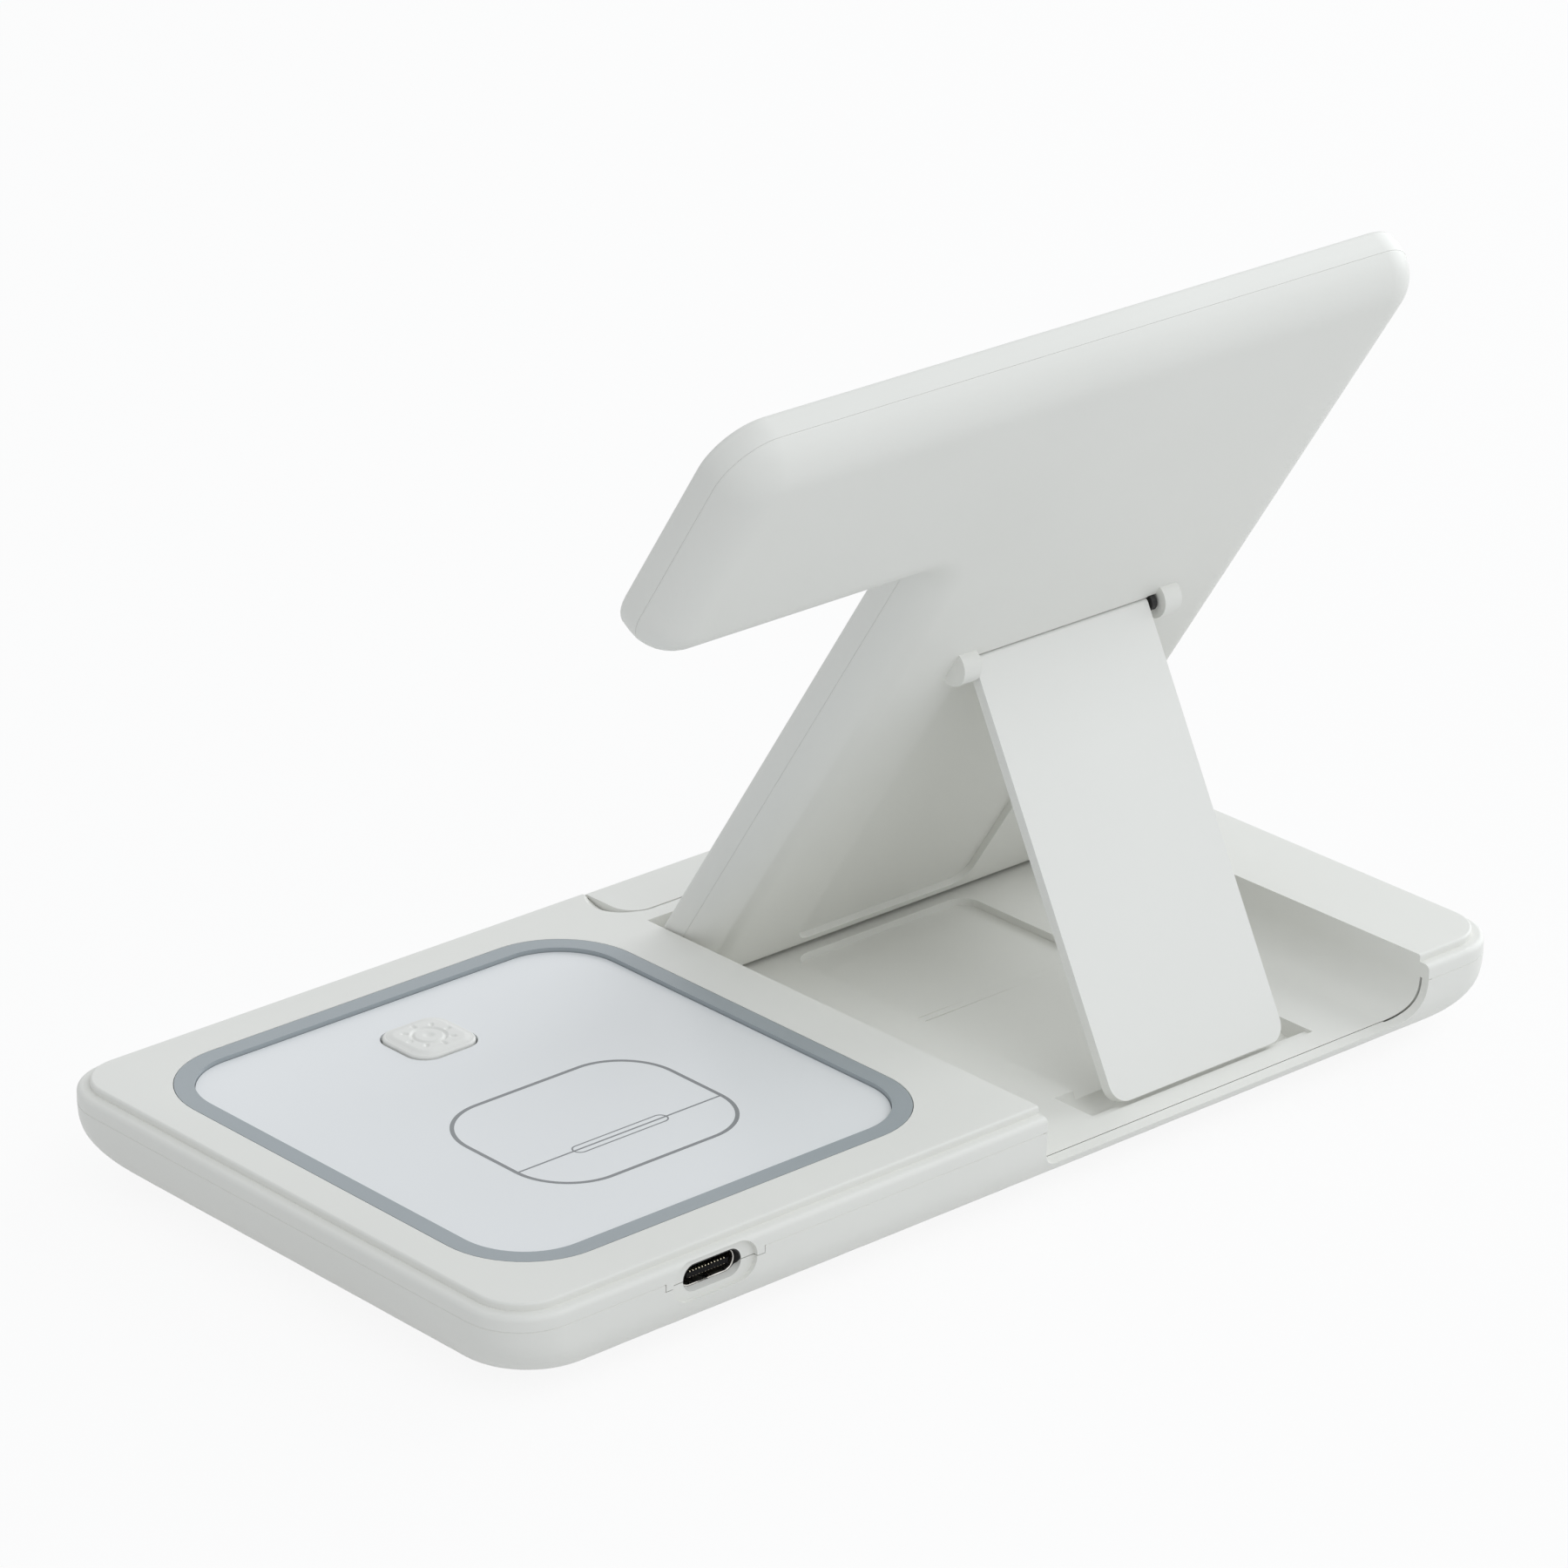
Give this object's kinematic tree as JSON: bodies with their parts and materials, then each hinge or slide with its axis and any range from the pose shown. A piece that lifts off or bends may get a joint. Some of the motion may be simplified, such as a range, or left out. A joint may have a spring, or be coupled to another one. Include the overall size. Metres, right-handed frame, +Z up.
{
  "type": "foldable wireless charging station",
  "caption": "White folding charging stand: a flat base with an earbud pad, light ring and button, and a leaning panel held up by a kickstand, for a phone and a watch.",
  "frame": {"origin": "on the surface it stands on, under the middle of the base", "axes": "+X along the base's long side away from the earbud pad, +Y towards the phone's side, +Z up"},
  "size_m": [0.1722, 0.0896, 0.1126],
  "materials": {
    "white_shell": "fine matte moulded texture",
    "white_pad": "smooth satin",
    "ring_diffuser": "milky diffuser",
    "circuit_board": "solder mask",
    "black_plastic": "matte",
    "plated_steel": "plated",
    "copper_coil": "enamelled wire",
    "ferrite": "dull sintered",
    "foot_rubber": "matte"
  },
  "bodies": {
    "base": {"base_bottom_shell": "white_shell", "base_top_cover": "white_shell", "light_ring": "ring_diffuser", "charging_panel": "white_pad", "led_board": "circuit_board", "button_switch": "black_plastic", "main_circuit_board": "circuit_board", "board_screws": "plated_steel", "usb_c_shell": "plated_steel", "usb_c_tongue": "black_plastic", "earbud_coil": "copper_coil", "earbud_ferrite": "ferrite", "flap_pin": "plated_steel", "rubber_feet": "foot_rubber", "panel_hinge_pins": "plated_steel"},
    "light_button": {"light_button": "white_pad"},
    "phone_stop_flap": {"phone_stop_flap": "white_shell"},
    "panel": {"panel_back_shell": "white_shell", "panel_front_cover": "white_shell", "watch_disc": "white_pad", "phone_coil": "copper_coil", "phone_ferrite": "ferrite", "watch_coil": "copper_coil", "panel_circuit_board": "circuit_board", "kickstand_pin": "plated_steel", "kickstand_washer": "foot_rubber"},
    "kickstand": {"kickstand_plate": "white_shell"}
  },
  "joints": [
    {"name": "panel_fold", "type": "hinge", "parent": "base", "child": "panel", "pos_m": [0.03595, 0.02626, 0.0096], "axis": [-1, 0, 0], "range_deg": [0, 32]},
    {"name": "kickstand_fold", "type": "hinge", "parent": "panel", "child": "kickstand", "pos_m": [0.03565, -0.00952, 0.05794], "axis": [1, 0, 0], "range_deg": [0, 59.5]},
    {"name": "flap_lift", "type": "hinge", "parent": "base", "child": "phone_stop_flap", "pos_m": [0.03595, 0.0421, 0.0126], "axis": [-1, 0, 0], "range_deg": [0, 95]},
    {"name": "button_press", "type": "slide", "parent": "base", "child": "light_button", "axis": [0, 0, -1], "range_m": [0, 0.00035], "stiffness_N_per_m": 2500}
  ],
  "couplings": [
    {"joint": "kickstand_fold", "follows": "panel_fold", "ratio": 1.8594}
  ]
}
